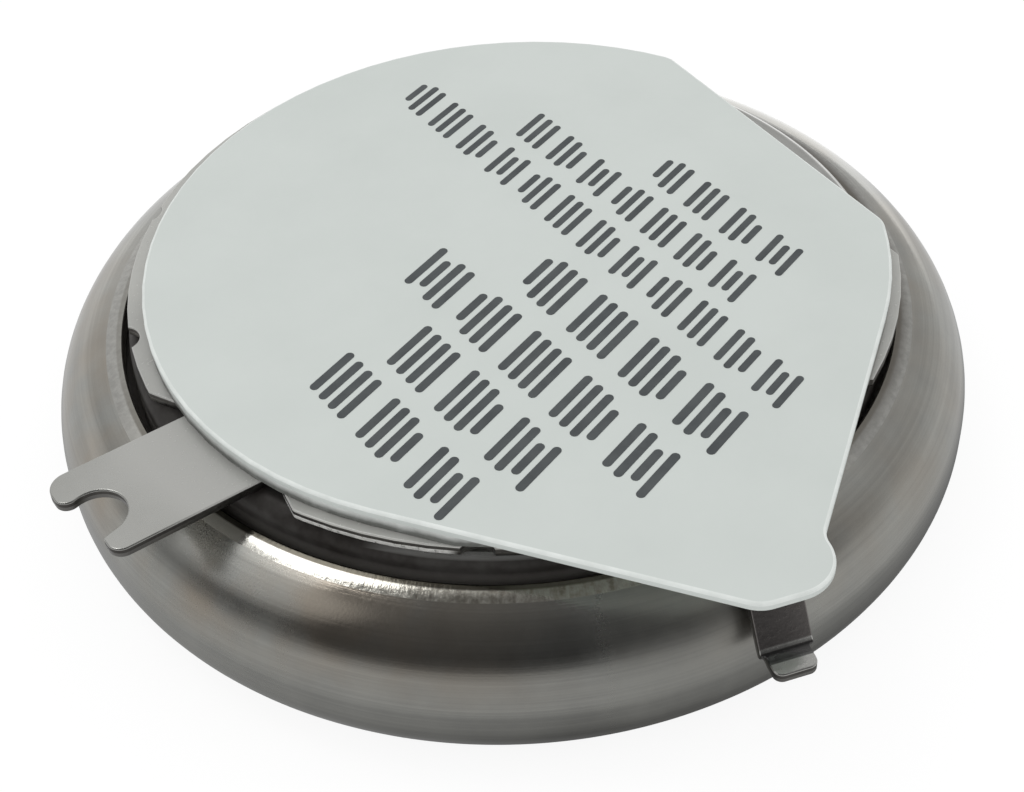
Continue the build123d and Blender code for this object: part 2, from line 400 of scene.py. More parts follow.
def tab_path(direction, offset, width, outer_path):
    """A tab with its relief cuts, from one rim corner to the other, anticlockwise."""
    low = offset - width / 2
    high = offset + width / 2
    first_rim = rim_point(low - relief_width)
    first_root = rim_point(low, relief_depth)
    last_root = rim_point(high, relief_depth)
    last_rim = rim_point(high + relief_width)
    along_rim = degrees(relief_corner * 1.5 / plate_radius)
    enter = polar(plate_radius, heading(first_rim) - along_rim)
    leave = polar(plate_radius, heading(last_rim) + along_rim)
    radii = (relief_corner, relief_corner / 2)
    path = filleted((enter, first_rim, first_root, outer_path[0]), radii)[:-1] + outer_path
    path += filleted((outer_path[-1], last_root, last_rim, leave), radii[::-1])[1:]
    turn = Matrix.Rotation(radians(direction), 2)
    return [turn @ point for point in path]


def fork_path():
    """Outer part of the forked tab, in the tab's frame."""
    long_tip = plate_radius + fork_reach
    short_tip = long_tip - short_prong_cut
    top = fork_offset - fork_width / 2
    bottom = fork_offset + fork_width / 2
    notch = Vector((long_tip - notch_inset, fork_offset + notch_offset))
    slant = radians(notch_slant)
    first_side = notch + polar(notch_radius, notch_slant - 90)
    last_side = notch + polar(notch_radius, notch_slant + 90)
    long_corner = Vector((long_tip, first_side.y + (long_tip - first_side.x) * tan(slant)))
    short_corner = Vector((short_tip, last_side.y + (short_tip - last_side.x) * tan(slant)))
    root = plate_radius / 2
    long_prong = ((root, top), (long_tip, top), long_corner, first_side)
    short_prong = (last_side, short_corner, (short_tip, bottom), (root, bottom))
    path = filleted(long_prong, (long_tip_outer_radius, long_tip_inner_radius))[1:-1]
    path += arc(notch, notch_radius, notch_slant + 270, notch_slant + 90)
    return path + filleted(short_prong, (short_tip_inner_radius, short_tip_outer_radius))[1:-1]


def leg_runs():
    """The leg's line in side view: where it leaves the plate, its bends and its lengths."""
    turn = radians(leg_direction)
    axis_x = -plate_shift * cos(turn)
    axis_y = plate_shift * sin(turn)
    near_side = leg_offset - leg_width / 2 - axis_y
    ring_x = axis_x + sqrt(shoulder_centre**2 - near_side**2)
    held_off = shoulder_radius + leg_clearance
    under_x = ring_x + (held_off - cos(leg_bend) * (cell_height - side_height)) / sin(leg_bend)
    bend_x = under_x + plate_thickness * tan(leg_bend / 2)
    upper_cut = leg_outer_bend_radius * tan(leg_bend / 2)
    foot_cut = foot_bend_radius * tan(leg_bend / 2)
    upper_arc = leg_outer_bend_radius * leg_bend
    slope_run = leg_drop / sin(leg_bend) - upper_cut - foot_cut
    foot_arc = foot_bend_radius * leg_bend
    return bend_x - upper_cut, upper_arc, slope_run, foot_arc, foot_length - foot_cut


def foot_bend_place():
    """How far from the cell's axis, along the leg, its slope meets its foot."""
    start, _, slope_run, _, _ = leg_runs()
    foot_cut = foot_bend_radius * tan(leg_bend / 2)
    reach = start + leg_outer_bend_radius * sin(leg_bend) + (slope_run + foot_cut) * cos(leg_bend)
    return reach + plate_shift * cos(radians(leg_direction))


def leg_path():
    """Outer part of the leg before it is bent, in the leg's frame."""
    start, upper_arc, slope_run, foot_arc, foot_run = leg_runs()
    foot_start = start + upper_arc + slope_run + foot_arc / 2
    tip = start + upper_arc + slope_run + foot_arc + foot_run
    low = leg_offset - leg_width / 2
    high = leg_offset + leg_width / 2
    foot_low = low + foot_inset
    foot_high = high - foot_inset
    root = plate_radius / 2
    ease = foot_inset / 2.5
    side = ((root, low), (foot_start, low), (foot_start, foot_low), (tip, foot_low))
    other_side = ((tip, foot_high), (foot_start, foot_high), (foot_start, high), (root, high))
    radii = (ease, ease, foot_corner_radius, foot_corner_radius, ease, ease)
    return filleted(side + other_side, radii)[1:-1]


def plate_outline():
    """Outline of the flat blank of the lead plate, about the plate's centre."""
    half = degrees(acos((plate_radius - flat_inset) / plate_radius))
    fork = tab_path(180, fork_offset, fork_width, fork_path())
    leg = tab_path(leg_direction, leg_offset, leg_width, leg_path())
    outline = rim_run(flat_angle + half, after(heading(fork[0]), 0))
    outline += fork
    outline += rim_run(after(heading(fork[-1]), 90), after(heading(leg[0]), 90))
    outline += leg
    outline += rim_run(after(heading(leg[-1]), 180), 360 + flat_angle - half)
    return thinned(outline)


def bend_leg(form):
    """Bends the leg of the flat blank down and its foot out again."""
    start, upper_arc, slope_run, foot_arc, _ = leg_runs()
    slope_start = start + upper_arc
    foot_start = slope_start + slope_run
    run = Vector((*polar(1, leg_direction), 0))
    stops = [start + upper_arc * k / leg_bend_steps for k in range(leg_bend_steps + 1)]
    stops += [slope_start + slope_run * k / leg_slope_steps for k in range(1, leg_slope_steps)]
    stops += [foot_start + foot_arc * k / foot_bend_steps for k in range(foot_bend_steps + 1)]
    for stop in stops:
        whole = form.verts[:] + form.edges[:] + form.faces[:]
        bmesh.ops.bisect_plane(form, geom=whole, dist=1e-5, plane_co=run * stop, plane_no=run)
    for vert in form.verts:
        along = vert.co.dot(run)
        if along <= start:
            continue
        depth = plate_top - vert.co.z
        side = vert.co - run * along
        side.z = 0
        first = min(along - start, upper_arc)
        second = min(max(along - slope_start, 0), slope_run)
        third = min(max(along - foot_start, 0), foot_arc)
        last = max(along - foot_start - foot_arc, 0)
        turn = first / leg_outer_bend_radius
        reach = start + leg_outer_bend_radius * sin(turn)
        height = plate_top - leg_outer_bend_radius * (1 - cos(turn))
        reach += second * cos(leg_bend)
        height -= second * sin(leg_bend)
        back = third / foot_bend_radius
        reach += foot_bend_radius * (sin(leg_bend) - sin(leg_bend - back))
        height -= foot_bend_radius * (cos(leg_bend - back) - cos(leg_bend))
        slope = turn - back
        reach += last * cos(slope)
        height -= last * sin(slope)
        reach -= depth * sin(slope)
        height -= depth * cos(slope)
        vert.co = side + run * reach + Vector((0, 0, height))


def label_outline():
    """Outline of the label: a disc with a lobe over the leg and a straight far edge."""
    along = polar(1, leg_direction)
    across = polar(1, leg_direction + 90)
    lobe_end = along * (plate_radius + lobe_reach)
    lobe = lobe_end + across * lobe_offset - along * lobe_radius
    heel = lobe_end + across * heel_offset - along * heel_radius
    to_heel = heel - label_centre
    first_turn = heading(to_heel) - degrees(acos((label_radius - heel_radius) / to_heel.length))
    to_lobe = lobe - heel
    second_turn = heading(to_lobe) - degrees(acos((heel_radius - lobe_radius) / to_lobe.length))
    arm = lobe - label_centre
    waist_turn = heading(arm) + degrees(acos((label_radius - waist_reach) / arm.length))
    neck_reach = waist_reach + neck_fillet
    neck_run = sqrt((lobe_radius + neck_fillet) ** 2 - neck_reach**2)
    neck = lobe + polar(neck_reach, waist_turn) + polar(neck_run, waist_turn + 90)
    normal = polar(1, flat_angle)
    cut = plate_centre + normal * (plate_radius - flat_inset + label_overhang)
    cut_reach = (cut - label_centre).dot(normal)
    half = degrees(acos(cut_reach / label_radius))
    start = flat_angle + half
    end = 360 + flat_angle - half
    first, past_first, last, before_last = [
        label_centre + polar(label_radius, turn)
        for turn in (start, start + corner_aim, end, end - corner_aim)
    ]
    first_turn = after(first_turn, 90)
    second_turn = after(second_turn, first_turn)
    lobe_turn = after(heading(neck - lobe), second_turn)
    waist_turn = after(waist_turn, 180)
    outline = rounded(cut, first, past_first, label_cut_corner)
    outline += arc(label_centre, label_radius, start + corner_end, first_turn)
    outline += arc(heel, heel_radius, first_turn, second_turn)
    outline += arc(lobe, lobe_radius, second_turn, lobe_turn)
    fillet_start = heading(lobe - neck)
    fillet_sweep = (fillet_start - (waist_turn + 180)) % 360
    outline += arc(neck, neck_fillet, fillet_start, fillet_start - fillet_sweep)
    outline += arc(label_centre, label_radius, waist_turn, end - corner_end)
    outline += rounded(before_last, last, cut, label_cut_corner)
    return thinned(outline)


def adhesive_outline(film):
    """The film's outline set back and kept within the plate."""
    reach = plate_radius - adhesive_setback
    path = inset(film, adhesive_setback)
    kept = []
    for start, end in zip(path, path[1:] + path[:1]):
        count = ceil((end - start).length / glue_step)
        for k in range(count):
            from_centre = start.lerp(end, k / count) - plate_centre
            if from_centre.length > reach:
                from_centre = from_centre * (reach / from_centre.length)
            kept.append(plate_centre + from_centre)
    return thinned(kept)


# Where marks, painted shade and painted light lie round the cell: their azimuth, half the width of
# their core and half that of the whole, in degrees
left_stain = (186, 31, 63)
right_stain = (-48, 37, 72)
dulled_by_leg = (-101, 9, 16)
dulled_by_tab = (-161, 9, 16)
ring_worn = (-116, 10, 45)
# Painted highlight: the ring is paler here, where the lamp's image lies on it
ring_highlight = (-150, 24, 43)
ring_far_stain = (35, 35, 60)
# Painted shadow of the label over the ring's inner part on the right
ring_right_shadow = (-28, 27, 54)
# Painted shade along the ring's inner edge, and where it is darkest, under the lamp's image
ring_edge_shade = (-130, 45, 69)
ring_edge_darkest = (-152, 25, 30)
# Painted shade on the cap beside the solder tab
cap_tab_shade = (180, 36, 50)
# Painted shade on the plate by the tab's root
tab_root_shade = (180, 24, 30)
# Painted light on the plate's right margin
plate_painted_light = (15, 24, 34)
# Painted highlight on the torn half of the plate's edge, front left
torn_highlight = (-144.5, 12.5, 14)


# Materials

def shader(name, colour, rough, metal=0.0):
    """Material with its shader's even values set, and the means to add to it."""
    material = bpy.data.materials.new(name)
    material.use_nodes = True
    tree = material.node_tree
    surface = tree.nodes["Principled BSDF"]
    surface.inputs["Base Color"].default_value = (*colour, 1)
    surface.inputs["Roughness"].default_value = rough
    surface.inputs["Metallic"].default_value = metal
    return material, tree, surface


def feed(tree, socket, value):
    """Sets an input by another socket or to a value."""
    if isinstance(value, bpy.types.NodeSocket):
        tree.links.new(value, socket)
    else:
        socket.default_value = value


def node(tree, kind, **values):
    """New shader node with its settings and inputs."""
    made = tree.nodes.new(kind)
    for key, value in values.items():
        if hasattr(made, key):
            setattr(made, key, value)
        else:
            feed(tree, made.inputs[key.replace("_", " ")], value)
    return made


def drive(tree, surface, **values):
    """Lets sockets set a shader's inputs."""
    for key, value in values.items():
        tree.links.new(value, surface.inputs[key.replace("_", " ")])


def maths(tree, operation, first, second=0.0, clamp=False):
    """Sum, product or other calculation on two values or sockets."""
    made = node(tree, "ShaderNodeMath", operation=operation, use_clamp=clamp)
    feed(tree, made.inputs[0], first)
    feed(tree, made.inputs[1], second)
    return made.outputs[0]


def product(tree, first, *others):
    """Product of a socket and other sockets or values."""
    for other in others:
        first = maths(tree, "MULTIPLY", first, other)
    return first


def rest(tree, value):
    """What a value leaves of 1."""
    return maths(tree, "SUBTRACT", 1.0, value)


def weighed(tree, first, second, share):
    """Sum of two sockets, the first by its share and the second by what that leaves of 1."""
    return maths(tree, "ADD", product(tree, first, share), product(tree, second, 1 - share))


def ranged(tree, value, low, high, to_low=0.0, to_high=1.0):
    """A value's range mapped to another."""
    span = {"From_Min": low, "From_Max": high, "To_Min": to_low, "To_Max": to_high}
    return node(tree, "ShaderNodeMapRange", clamp=True, Value=value, **span).outputs[0]


def blended(tree, factor, first, second):
    """Colour between two, by a factor."""
    made = node(tree, "ShaderNodeMix", data_type="RGBA")
    feed(tree, made.inputs[0], factor)
    for socket, value in ((made.inputs[6], first), (made.inputs[7], second)):
        feed(tree, socket, (*value, 1) if isinstance(value, tuple) else value)
    return made.outputs[2]


def noise(tree, place, scale, detail=3.0, rough=0.5):
    """Noise value between 0 and 1."""
    values = {"Scale": scale, "Detail": detail, "Roughness": rough}
    return node(tree, "ShaderNodeTexNoise", Vector=place, **values).outputs["Fac"]


def bumped(tree, surface, height, distance):
    """Relief on a surface from a height value, distance in metres."""
    made = node(tree, "ShaderNodeBump", Distance=distance, Height=height)
    drive(tree, surface, Normal=made.outputs[0])


def place_in_mm(tree):
    """Position on the object, in millimetres."""
    place = tree.nodes.new("ShaderNodeTexCoord").outputs["Object"]
    scaled = node(tree, "ShaderNodeVectorMath", operation="SCALE", Vector=place, Scale=1 / mm)
    return scaled.outputs[0]


def polar_parts(tree):
    """Radius, turn and height of a place on the cell, in millimetres and radians."""
    x, y, height = node(tree, "ShaderNodeSeparateXYZ", Vector=place_in_mm(tree)).outputs
    square = maths(tree, "ADD", product(tree, x, x), product(tree, y, y))
    return maths(tree, "SQRT", square), maths(tree, "ARCTAN2", y, x), height


def turned_place(tree, across, around):
    """Place stretched round the axis, for marks that run round the cell or across it."""
    radius, turn, height = polar_parts(tree)
    joined = tree.nodes.new("ShaderNodeCombineXYZ")
    stretches = ((radius, across), (height, across), (turn, around))
    for k, (part, stretch) in enumerate(stretches):
        tree.links.new(product(tree, part, stretch), joined.inputs[k])
    return joined.outputs[0]


def bearing(azimuth, elevation=0.0):
    """Unit vector at an azimuth and an elevation in degrees."""
    return Vector((*polar(cos(radians(elevation)), azimuth), sin(radians(elevation))))


def dotted(tree, place, direction):
    """How far a place lies along a fixed direction."""
    made = node(tree, "ShaderNodeVectorMath", operation="DOT_PRODUCT", Vector=place)
    made.inputs[1].default_value = direction
    return made.outputs["Value"]


def facing_mask(tree, way, target, core, whole, amount=1.0):
    """An amount within some degrees of a direction, fading to 0 further off."""
    low = cos(radians(whole))
    high = cos(radians(core))
    return ranged(tree, dotted(tree, way, target), low, high, 0.0, amount)


def side_mask(tree, reach):
    """1 in the core of a reach round the cell, fading to 0 at its ends."""
    azimuth, core, whole = reach
    level = node(tree, "ShaderNodeVectorMath", operation="MULTIPLY", Vector=place_in_mm(tree))
    level.inputs[1].default_value = (1, 1, 0)
    unit = node(tree, "ShaderNodeVectorMath", operation="NORMALIZE", Vector=level.outputs[0])
    return facing_mask(tree, unit.outputs[0], bearing(azimuth), core, whole)


def can_material():
    """Drawn steel: fine marks round the cell, cloudy patches, brown stains and two dulled spots."""
    brown = (0.42, 0.36, 0.29)
    material, tree, surface = shader("can_steel", (0.43, 0.43, 0.41), 0.17, 1.0)
    place = place_in_mm(tree)
    lines = noise(tree, turned_place(tree, 30.0, 0.9), 1.0, 4.0, 0.6)
    cloud = noise(tree, place, 1.3, 5.0, 0.62)
    grain = noise(tree, place, 34.0, 3.0, 0.6)
    shade = ranged(tree, weighed(tree, lines, cloud, 0.45), 0.38, 0.62)
    colour = blended(tree, shade, (0.375, 0.375, 0.355), (0.465, 0.465, 0.435))

    left = side_mask(tree, left_stain)
    right = product(tree, side_mask(tree, right_stain), 0.45)
    patches = ranged(tree, noise(tree, place, 0.9, 3.0, 0.55), 0.36, 0.60)
    shoulder = ranged(tree, polar_parts(tree)[2], 0.85, 1.30)
    stain_and_painted_light = product(tree, maths(tree, "ADD", left, right, True), patches, shoulder, 0.75)
    colour = blended(tree, stain_and_painted_light, colour, brown)

    rough = ranged(tree, weighed(tree, cloud, grain, 0.6), 0.38, 0.62, 0.11, 0.18)
    for spot, added in ((dulled_by_leg, 0.22), (dulled_by_tab, 0.14)):
        dulled = product(tree, side_mask(tree, spot), added)
        rough = maths(tree, "ADD", rough, dulled)
    drive(tree, surface, Base_Color=colour, Roughness=rough)
    bumped(tree, surface, weighed(tree, lines, grain, 0.6), 1.0e-6)
    return material


def ring_colour(tree, chatter, mottle, front):
    """Colour of the burnished ring: worn in front, even elsewhere, and paler beside the tab as a painted
    highlight where the lamp's image lies.
    """
    worn = ranged(tree, weighed(tree, chatter, mottle, 0.5), 0.38, 0.60)
    worn = blended(tree, worn, (0.34, 0.31, 0.26), (0.66, 0.64, 0.57))
    even = ranged(tree, mottle, 0.38, 0.62)
    even = blended(tree, even, (0.44, 0.435, 0.41), (0.52, 0.515, 0.485))
    # Painted highlight: paler ring colour beside the tab, where the lamp's image lies
    even = blended(tree, side_mask(tree, ring_highlight), even, (0.70, 0.69, 0.64))
    return blended(tree, front, even, worn)


def ring_stain_and_shade(tree, colour):
    """The ring's colour with a stain on its far side, a painted shadow over its inner part on the right and
    painted shade along its inner edge.
    """
    reach = polar_parts(tree)[0]
    far = product(tree, side_mask(tree, ring_far_stain), 0.7)
    colour = blended(tree, far, colour, (0.15, 0.147, 0.135))
    # Painted shadow: the ring's inner part darkened on the right, beside the label
    right = product(tree, side_mask(tree, ring_right_shadow), 0.8)
    inner = ranged(tree, reach, mouth_radius + 0.04, mouth_radius + 0.15, 1.0, 0.0)
    colour = blended(tree, product(tree, right, inner), colour, (0.14, 0.125, 0.11))
    # Painted shade: a brown band along the ring's inner edge, darkest where the lamp's image would light it
    edge = ranged(tree, reach, mouth_radius + 0.056, mouth_radius + 0.074, 0.95, 0.0)
    edge = product(tree, edge, ranged(tree, side_mask(tree, ring_edge_shade), 0.0, 1.0, 0.4, 1.0))
    brown = side_mask(tree, ring_edge_darkest)
    brown = blended(tree, brown, (0.17, 0.155, 0.125), (0.045, 0.040, 0.030))
    return blended(tree, edge, colour, brown)


def ring_material():
    """Burnished steel at the can's mouth, with chatter marks across its front."""
    material, tree, surface = shader("ring_steel", (0.60, 0.585, 0.54), 0.12, 1.0)
    chatter = noise(tree, turned_place(tree, 3.0, 62.0), 1.0, 3.0, 0.65)
    mottle = noise(tree, place_in_mm(tree), 14.0, 4.0, 0.65)
    front = side_mask(tree, ring_worn)
    colour = ring_stain_and_shade(tree, ring_colour(tree, chatter, mottle, front))
    drive(tree, surface, Base_Color=colour, Roughness=ranged(tree, mottle, 0.35, 0.65, 0.08, 0.20))
    bumped(tree, surface, weighed(tree, product(tree, chatter, front), mottle, 0.7), 3.5e-6)
    return material


def cap_material():
    """Pressed steel with painted shade down its wall under the plate and beside the solder tab, painted
    lighter low on the wall in the gap.
    """
    # Colours of the painted shade: lighter low on the wall, darker high under the plate
    low_wall_fill = (0.15, 0.14, 0.13)
    high_wall_shade = (0.024, 0.021, 0.019)
    fill_to_shade = (1.66, 1.77)
    wall_shade_top = (1.90, 1.965)
    material, tree, surface = shader("cap_steel", (0.50, 0.50, 0.48), 0.16, 1.0)
    cloud = noise(tree, place_in_mm(tree), 2.0, 4.0, 0.6)
    colour = ranged(tree, cloud, 0.35, 0.65)
    colour = blended(tree, colour, (0.46, 0.46, 0.44), (0.54, 0.54, 0.52))
    height = polar_parts(tree)[2]
    # Painted shade down the wall and beside the solder tab, lighter low in the gap
    wall = ranged(tree, height, *wall_shade_top, 1.0, 0.0)
    cap_shade = maths(tree, "MAXIMUM", wall, side_mask(tree, cap_tab_shade))
    cap_shade = product(tree, cap_shade, ranged(tree, cloud, 0.3, 0.6, 0.92, 1.0))
    low = ranged(tree, height, *fill_to_shade, 1.0, 0.0)
    dark = blended(tree, low, high_wall_shade, low_wall_fill)
    drive(
        tree,
        surface,
        Base_Color=blended(tree, cap_shade, colour, dark),
        Roughness=ranged(tree, cap_shade, 0.0, 1.0, 0.16, 0.45),
        Metallic=ranged(tree, cap_shade, 0.0, 1.0, 1.0, 0.25),
        Specular_IOR_Level=ranged(tree, cap_shade, 0.0, 1.0, 0.5, 0.15),
    )
    bumped(tree, surface, cloud, 1.0e-6)
    return material


def leg_band(tree, start, end, amount):
    """Band across the leg, by how far it lies beyond the bend of the foot."""
    fade = 0.008
    along = dotted(tree, place_in_mm(tree), bearing(leg_direction))
    bend = foot_bend_place()
    first = ranged(tree, along, bend + start - fade, bend + start, 0.0, amount)
    return product(tree, first, ranged(tree, along, bend + end, bend + end + fade, 1.0, 0.0))


def lead_material():
    """Satin sheet metal, with painted shade by the tab's root, down the leg and in the crease at its foot,
    a painted highlight along the crease and painted light on the foot and on the plate's right margin.
    """
    material, tree, surface = shader("lead_steel", (0.50, 0.50, 0.475), 0.24, 1.0)
    place = place_in_mm(tree)
    cloud = ranged(tree, noise(tree, place, 0.9, 4.0, 0.6), 0.35, 0.65)
    grain = noise(tree, place, 26.0, 3.0, 0.6)
    colour = blended(tree, cloud, (0.475, 0.475, 0.45), (0.525, 0.525, 0.50))

    # The disc is satin, and the sheet is bare further out on the tab and down the leg
    reach, _, height = polar_parts(tree)
    bare = ranged(tree, reach, plate_radius + 0.35, plate_radius + 0.80)
    bare = maths(tree, "MAXIMUM", bare, ranged(tree, height, 1.90, 1.97, 1.0, 0.0))
    # Painted light and shade, each a mask and its colour: shade by the tab's root, darker and a little
    # brown down the leg, light on the right margin, light on the foot, a highlight along the crease and
    # shade in the crease
    painted_light_and_shade = (
        (product(tree, side_mask(tree, tab_root_shade), rest(tree, bare)), (0.43, 0.43, 0.41)),
        (ranged(tree, height, 1.90, 2.00, 0.80, 0.0), (0.200, 0.178, 0.174)),
        (side_mask(tree, plate_painted_light), (0.80, 0.80, 0.78)),
        (leg_band(tree, 0.08, 0.30, 0.75), (0.70, 0.70, 0.67)),
        (leg_band(tree, -0.038, -0.022, 0.8), (0.78, 0.78, 0.75)),
        (leg_band(tree, -0.010, 0.098, 0.85), (0.09, 0.09, 0.09)),
    )
    for mask, stain_and_painted_light in painted_light_and_shade:
        colour = blended(tree, mask, colour, stain_and_painted_light)
    drive(
        tree,
        surface,
        Base_Color=colour,
        Roughness=ranged(tree, grain, 0.3, 0.7, 0.20, 0.28),
        Metallic=ranged(tree, bare, 0.0, 1.0, 0.25, 1.0),
    )
    bumped(tree, surface, grain, 1.2e-6)
    return material


def torn_material():
    """Lower half of a sheared edge, with a painted highlight on the front left and dull elsewhere."""
    material, tree, surface = shader("torn_steel_highlight", (0.30, 0.30, 0.28), 0.30, 1.0)
    grain = noise(tree, place_in_mm(tree), 14.0, 3.0, 0.6)
    # Painted highlight on the front left
    front_highlight = side_mask(tree, torn_highlight)
    front_highlight = product(tree, front_highlight, ranged(tree, grain, 0.35, 0.6, 0.75, 1.0))
    drive(
        tree,
        surface,
        Base_Color=blended(tree, front_highlight, (0.20, 0.195, 0.185), (0.92, 0.92, 0.89)),
        Roughness=ranged(tree, grain, 0.3, 0.7, 0.24, 0.38),
        Metallic=ranged(tree, front_highlight, 0.0, 1.0, 1.0, 0.45),
    )
    bumped(tree, surface, grain, 1.5e-6)
    return material


def glue_material():
    """Pale adhesive with painted shade that darkens it down to the plate."""
    material, tree, surface = shader("label_glue", (0.52, 0.54, 0.52), 0.5)
    cloud = noise(tree, place_in_mm(tree), 5.0, 4.0, 0.6)
    # Painted shade: darker down to the plate, in the crevice under the film
    painted_shade = ranged(tree, polar_parts(tree)[2], plate_top + 0.045, film_bottom + 0.005)
    painted_shade = maths(tree, "ADD", painted_shade, ranged(tree, cloud, 0.3, 0.7, -0.15, 0.15), True)
    colour = blended(tree, painted_shade, (0.13, 0.135, 0.125), (0.66, 0.68, 0.66))
    drive(tree, surface, Base_Color=colour, Roughness=ranged(tree, cloud, 0.3, 0.7, 0.42, 0.58))
    bumped(tree, surface, cloud, 2e-6)
    return material


def plain_grain(name, first, second, rough, scale, depth, metal=0.0):
    """Material with an uneven colour, an uneven gloss and a fine grain."""
    gloss_span = 0.08
    grain_fineness = 12
    material, tree, surface = shader(name, first, rough, metal)
    place = place_in_mm(tree)
    cloud = ranged(tree, noise(tree, place, scale, 4.0, 0.6), 0.35, 0.65)
    grain = noise(tree, place, scale * grain_fineness, 3.0, 0.6)
    gloss = ranged(tree, grain, 0.3, 0.7, rough - gloss_span, rough + gloss_span)
    drive(tree, surface, Base_Color=blended(tree, cloud, first, second), Roughness=gloss)
    bumped(tree, surface, grain, depth)
    return material


# The pieces, each with its materials

def build_can():
    """The can, with the burnished ring at its mouth as a material of its own."""
    form = turned_form(can_profile())
    steels = (can_material(), ring_material())
    can = new_piece("can_shell", form, "can", "can_steel", *steels, sharp_angle=can_sharp_angle)
    for face in can.data.polygons:
        middle = face.center / mm
        high = middle.z > lip_outer_height - lip_edge_radius
        if high and hypot(middle.x, middle.y) < lip_outer_radius + lip_edge_radius:
            face.material_index = 1


def build_cap():
    """The cap's dome and skirt."""
    form = turned_form(cap_profile())
    new_piece("cap_dome", form, "cap", "cap_steel", cap_material(), sharp_angle=cap_sharp_angle)


def build_plate():
    """The lead plate, cut flat, its leg bent down, with the sheared half of its edge painted dark as shade
    and the torn half with a painted highlight.
    """
    bands = (2, 2, 1, 0)
    rounding = sheet_edge_radius
    form = sheet_form(plate_outline(), cell_height, plate_top, rounding, rounding, bands)
    bend_leg(form)
    bmesh.ops.translate(form, vec=(plate_shift, 0, 0), verts=form.verts)
    # Painted shade: the sheared upper half of the plate's edge is nearly black
    shade_colours = ((0.085, 0.080, 0.075), (0.14, 0.135, 0.125))
    sheared = plain_grain("sheared_steel_shade", *shade_colours, 0.42, 3.0, 2e-6, 1.0)
    steels = (lead_material(), sheared, torn_material())
    weigh_normals(new_piece("lead_sheet", form, "lead_plate", "lead_steel", *steels))


def build_label():
    """The label's film, its rounded rim paler, partly by its own colour and partly as a painted highlight,
    and the adhesive under it.
    """
    outline = label_outline()
    bands = (0, 0, 0, 1)
    top = film_top - ink_room
    form = sheet_form(outline, film_bottom, top, film_low_edge, film_edge_radius, bands)
    film = plain_grain("label_film", (0.615, 0.655, 0.63), (0.59, 0.63, 0.605), 0.42, 0.7, 1.5e-6)
    # The rounded top edge: its own paler colour with a painted highlight
    rim_highlight = plain_grain("film_rim_highlight", (0.78, 0.815, 0.79), (0.68, 0.715, 0.69), 0.38, 4.0, 1.5e-6)
    weigh_normals(new_piece("label_film", form, "label", "label_film", film, rim_highlight))

    outline = adhesive_outline(outline)
    form = sheet_form(outline, plate_top, film_bottom, glue_low_edge, glue_high_edge)
    weigh_normals(new_piece("label_glue", form, "label_adhesive", "label_glue", glue_material()))


def dress_inner_pieces():
    """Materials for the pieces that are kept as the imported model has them."""
    plastic = ((0.38, 0.36, 0.34), (0.44, 0.42, 0.40))
    carbon = ((0.02, 0.02, 0.021), (0.035, 0.035, 0.036))
    oxide = ((0.045, 0.045, 0.05), (0.07, 0.07, 0.075))
    powder = ((0.08, 0.08, 0.08), (0.11, 0.11, 0.11))
    paper = ((0.80, 0.79, 0.74), (0.72, 0.71, 0.66))
    collector = plain_grain("collector_carbon", *carbon, 0.7, 3.0, 3e-6)
    materials = {
        "gasket": plain_grain("gasket_plastic", *plastic, 0.5, 2.0, 2e-6),
        "positive_collector": collector,
        "negative_collector": collector,
        "positive_pellet": plain_grain("positive_powder", *oxide, 0.85, 5.0, 6e-6),
        "negative_pellet": plain_grain("negative_powder", *powder, 0.85, 5.0, 6e-6),
        "separator": plain_grain("separator_paper", *paper, 0.8, 4.0, 5e-6),
    }
    for name, material in materials.items():
        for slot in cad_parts[name].material_slots:
            slot.material = material


# Printed marks: rows of hatched blocks that spell nothing
# Bars of a block, the step between them and their width, for the large rows and the small ones
large_bars = (4, 0.160, 0.090)
small_bars = (3, 0.145, 0.076)
# Each row has its level, its first block, the number of its blocks, their step and their height
large_rows = (
    (-2.30, -2.38, 3, 0.80, 0.60),
    (-1.52, -2.52, 3, 0.80, 0.64),
    (-0.72, -3.22, 5, 0.80, 0.64),
    (0.10, -3.18, 4, 0.80, 0.64),
)
small_rows = (
    (0.88, -3.20, 12, 0.535, 0.50),
    (1.48, -1.82, 7, 0.535, 0.48),
    (2.10, -1.80, 4, 0.560, 0.48),
)
short_bar = 0.70
mark_slant = 20.0
row_tilt = -1.2


def mark_outline(centre, length, width):
    """Rounded bar, slanted to its row."""
    lean = polar((length - width) / 2, 180 + row_tilt + mark_slant)
    turn = heading(lean)
    outline = arc(centre + lean, width / 2, turn - 90, turn + 90)
    return outline + arc(centre - lean, width / 2, turn + 90, turn + 270)


def row_marks(level, start, count, step, height, bars, bar_step, width):
    """Bars of one row, in blocks with a gap between, a bar of each block shorter."""
    found = []
    for k in range(count):
        for bar in range(bars):
            y = start + k * step + (bar - (bars - 1) / 2) * bar_step
            x = level + (y - start) * tan(radians(row_tilt))
            length = height * (short_bar if (k + bar) % (bars + 1) == 1 else 1.0)
            found.append(mark_outline(Vector((x, y)), length, width))
    return found


def build_marks():
    """The printed marks, as thin raised ink on the film."""
    form = bmesh.new()
    rows = [(*row, *large_bars) for row in large_rows]
    rows += [(*row, *small_bars) for row in small_rows]
    bottom = film_top - ink_room
    top = film_top - ink_room * (1 - ink_share)
    for outline in [mark for row in rows for mark in row_marks(*row)]:
        low = [form.verts.new((p.x, p.y, bottom)) for p in thinned(outline)]
        high = [form.verts.new((v.co.x, v.co.y, top)) for v in low]
        join_rings(form, low, high)
        form.faces.new(reversed(low))
        form.faces.new(high)
    ink = plain_grain("label_ink", (0.052, 0.060, 0.064), (0.075, 0.085, 0.088), 0.5, 3.0, 1e-6)
    new_piece("label_marks", form, None, "label_film", ink)


